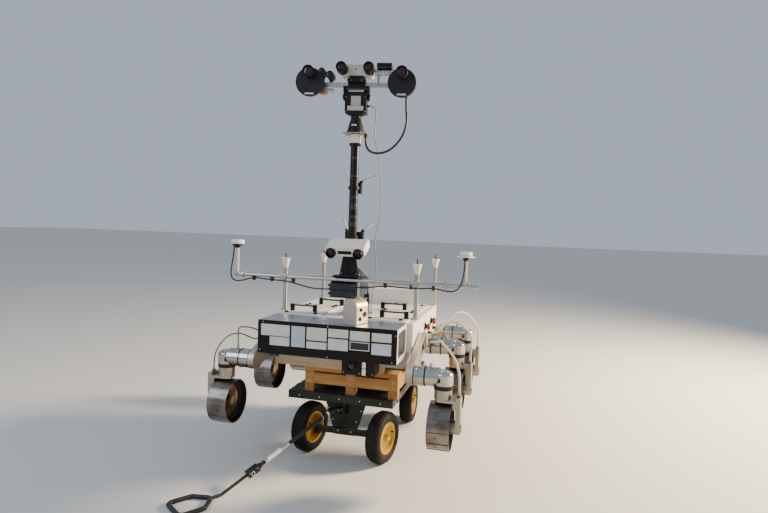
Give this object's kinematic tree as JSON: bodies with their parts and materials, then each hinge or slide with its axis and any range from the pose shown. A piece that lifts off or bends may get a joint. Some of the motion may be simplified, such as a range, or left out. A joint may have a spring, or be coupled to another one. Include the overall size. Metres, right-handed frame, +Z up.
{
  "type": "planetary rover prototype",
  "caption": "Planetary rover prototype with steered wheel legs, camera mast and antenna bar, resting on a pallet on a pull cart.",
  "frame": {"origin": "middle of the footprint at floor level", "axes": "+X to the rover's left, -Y the way the rover faces, +Z up"},
  "size_m": [1.494, 1.824, 2.286],
  "materials": {
    "white_shell": "satin white paint",
    "shelf_sheet": "blue-grey satin sheet",
    "black_panel": "black coated sheet",
    "hull_base": "grey paint",
    "bare_aluminium": "machined",
    "polished_housing": "polished",
    "black_tube": "black",
    "black_housing": "moulded black",
    "white_housing": "white",
    "lens_black": "dark glossy",
    "control_red": "red",
    "wheel_steel": "sheet steel",
    "hose_jacket": "pale corrugated hose",
    "cable_jacket": "black cable",
    "cart_green": "dark green paint",
    "steering_black": "black paint",
    "pole_steel": "plated",
    "rim_yellow": "yellow paint",
    "tyre_black": "black tyre",
    "pallet_wood": "weathered",
    "timber_wood": "pale pine"
  },
  "bodies": {
    "root": {"hull_box": "white_shell", "belly_tub": "hull_base", "front_shelf": "shelf_sheet", "front_panel": "black_panel", "deck_lids": "white_shell", "side_controls": "control_red", "antenna_posts": "bare_aluminium", "antenna_bar": "bare_aluminium", "top_antennas": "white_housing", "arch_instrument": "white_housing", "nose_instrument": "black_housing", "mast_tube": "black_tube", "mast_base": "bare_aluminium", "mast_bracket": "black_housing", "nav_camera": "white_shell", "mast_radios": "black_housing", "pan_base": "black_tube", "bogies": "bare_aluminium", "drive_units": "polished_housing", "cart_frame": "cart_green", "pallet": "pallet_wood", "spacer_timbers": "timber_wood", "hose_front_left": "hose_jacket", "hose_middle_left": "hose_jacket", "hose_rear_left": "hose_jacket", "cable_front_right": "cable_jacket", "body_cables": "cable_jacket", "head_cables": "cable_jacket"},
    "leg_front_left": {"leg_front_left": "bare_aluminium"},
    "wheel_front_left": {"wheel_front_left": "wheel_steel"},
    "leg_front_right": {"leg_front_right": "bare_aluminium"},
    "wheel_front_right": {"wheel_front_right": "wheel_steel"},
    "leg_middle_left": {"leg_middle_left": "bare_aluminium"},
    "wheel_middle_left": {"wheel_middle_left": "wheel_steel"},
    "leg_middle_right": {"leg_middle_right": "bare_aluminium"},
    "wheel_middle_right": {"wheel_middle_right": "wheel_steel"},
    "leg_rear_left": {"leg_rear_left": "bare_aluminium"},
    "wheel_rear_left": {"wheel_rear_left": "wheel_steel"},
    "leg_rear_right": {"leg_rear_right": "bare_aluminium"},
    "wheel_rear_right": {"wheel_rear_right": "wheel_steel"},
    "pan": {"pan_head": "white_shell"},
    "head": {"tilt_bracket": "bare_aluminium", "camera_beam": "bare_aluminium", "filter_wheels": "black_housing", "lens_barrels": "lens_black", "stereo_camera": "white_shell"},
    "tongue": {"cart_tongue": "steering_black"},
    "knuckle_left": {"knuckle_left": "steering_black"},
    "knuckle_right": {"knuckle_right": "steering_black"},
    "track_rod": {"track_rod": "steering_black"},
    "pull_pole": {"pull_pole": "pole_steel"},
    "cart_wheel_front_left": {"rim_front_left": "rim_yellow", "tyre_front_left": "tyre_black"},
    "cart_wheel_rear_left": {"rim_rear_left": "rim_yellow", "tyre_rear_left": "tyre_black"},
    "cart_wheel_front_right": {"rim_front_right": "rim_yellow", "tyre_front_right": "tyre_black"},
    "cart_wheel_rear_right": {"rim_rear_right": "rim_yellow", "tyre_rear_right": "tyre_black"}
  },
  "joints": [
    {"name": "steer_front_left", "type": "hinge", "parent": "root", "child": "leg_front_left", "pos_m": [0.611, -0.29746, 0.546], "axis": [0, 0, 1], "range_deg": [-50, 50], "deforming": ["hose_front_left"]},
    {"name": "roll_front_left", "type": "hinge", "parent": "leg_front_left", "child": "wheel_front_left", "pos_m": [0.605, -0.29746, 0.356], "axis": [1, 0, 0], "continuous": true},
    {"name": "steer_front_right", "type": "hinge", "parent": "root", "child": "leg_front_right", "pos_m": [-0.611, -0.29746, 0.546], "axis": [0, 0, 1], "range_deg": [-50, 50], "deforming": ["cable_front_right"]},
    {"name": "roll_front_right", "type": "hinge", "parent": "leg_front_right", "child": "wheel_front_right", "pos_m": [-0.605, -0.29746, 0.356], "axis": [1, 0, 0], "continuous": true},
    {"name": "steer_middle_left", "type": "hinge", "parent": "root", "child": "leg_middle_left", "pos_m": [0.611, 0.24554, 0.594], "axis": [0, 0, 1], "range_deg": [-50, 50], "deforming": ["hose_middle_left"]},
    {"name": "roll_middle_left", "type": "hinge", "parent": "leg_middle_left", "child": "wheel_middle_left", "pos_m": [0.605, 0.24554, 0.404], "axis": [1, 0, 0], "continuous": true},
    {"name": "steer_middle_right", "type": "hinge", "parent": "root", "child": "leg_middle_right", "pos_m": [-0.611, 0.24554, 0.594], "axis": [0, 0, 1], "range_deg": [-50, 50]},
    {"name": "roll_middle_right", "type": "hinge", "parent": "leg_middle_right", "child": "wheel_middle_right", "pos_m": [-0.605, 0.24554, 0.404], "axis": [1, 0, 0], "continuous": true},
    {"name": "steer_rear_left", "type": "hinge", "parent": "root", "child": "leg_rear_left", "pos_m": [0.611, 0.78954, 0.576], "axis": [0, 0, 1], "range_deg": [-50, 50], "deforming": ["hose_rear_left"]},
    {"name": "roll_rear_left", "type": "hinge", "parent": "leg_rear_left", "child": "wheel_rear_left", "pos_m": [0.605, 0.78954, 0.386], "axis": [1, 0, 0], "continuous": true},
    {"name": "steer_rear_right", "type": "hinge", "parent": "root", "child": "leg_rear_right", "pos_m": [-0.611, 0.78954, 0.576], "axis": [0, 0, 1], "range_deg": [-50, 50]},
    {"name": "roll_rear_right", "type": "hinge", "parent": "leg_rear_right", "child": "wheel_rear_right", "pos_m": [-0.605, 0.78954, 0.386], "axis": [1, 0, 0], "continuous": true},
    {"name": "mast_pan", "type": "hinge", "parent": "root", "child": "pan", "pos_m": [0, 0.02554, 1.98], "axis": [0, 0, 1], "range_deg": [-79, 61], "deforming": ["head_cables"]},
    {"name": "mast_tilt", "type": "hinge", "parent": "pan", "child": "head", "pos_m": [0, 0.02554, 2.1], "axis": [0.9877, 0.1564, 0], "range_deg": [-40, 40]},
    {"name": "tongue_turn", "type": "hinge", "parent": "root", "child": "tongue", "pos_m": [0.004, -0.05146, 0.3], "axis": [0, 0, 1], "range_deg": [-6, 74]},
    {"name": "knuckle_turn_left", "type": "hinge", "parent": "root", "child": "knuckle_left", "pos_m": [0.169, -0.00146, 0.148], "axis": [0, 0, 1], "range_deg": [-2.41, 29.61]},
    {"name": "knuckle_turn_right", "type": "hinge", "parent": "root", "child": "knuckle_right", "pos_m": [-0.161, -0.00146, 0.148], "axis": [0, 0, 1], "range_deg": [-2.41, 29.61]},
    {"name": "track_rod_turn", "type": "hinge", "parent": "knuckle_left", "child": "track_rod", "pos_m": [0.15113, -0.07533, 0.19], "axis": [0, 0, 1], "range_deg": [-29.61, 2.41]},
    {"name": "pole_lift", "type": "hinge", "parent": "tongue", "child": "pull_pole", "pos_m": [-0.04633, -0.12608, 0.3], "axis": [-0.829, 0.5592, 0], "range_deg": [0, 58]},
    {"name": "spin_front_left", "type": "hinge", "parent": "knuckle_left", "child": "cart_wheel_front_left", "pos_m": [0.23315, -0.01698, 0.148], "axis": [0.972, -0.2351, 0], "continuous": true},
    {"name": "spin_rear_left", "type": "hinge", "parent": "root", "child": "cart_wheel_rear_left", "pos_m": [0.235, 0.71854, 0.148], "axis": [1, 0, 0], "continuous": true},
    {"name": "spin_front_right", "type": "hinge", "parent": "knuckle_right", "child": "cart_wheel_front_right", "pos_m": [-0.22515, 0.01406, 0.148], "axis": [0.972, -0.2351, 0], "continuous": true},
    {"name": "spin_rear_right", "type": "hinge", "parent": "root", "child": "cart_wheel_rear_right", "pos_m": [-0.227, 0.71854, 0.148], "axis": [1, 0, 0], "continuous": true}
  ],
  "couplings": [
    {"joint": "knuckle_turn_left", "follows": "tongue_turn", "ratio": 0.4},
    {"joint": "knuckle_turn_right", "follows": "tongue_turn", "ratio": 0.4},
    {"joint": "track_rod_turn", "follows": "tongue_turn", "ratio": -0.4}
  ]
}
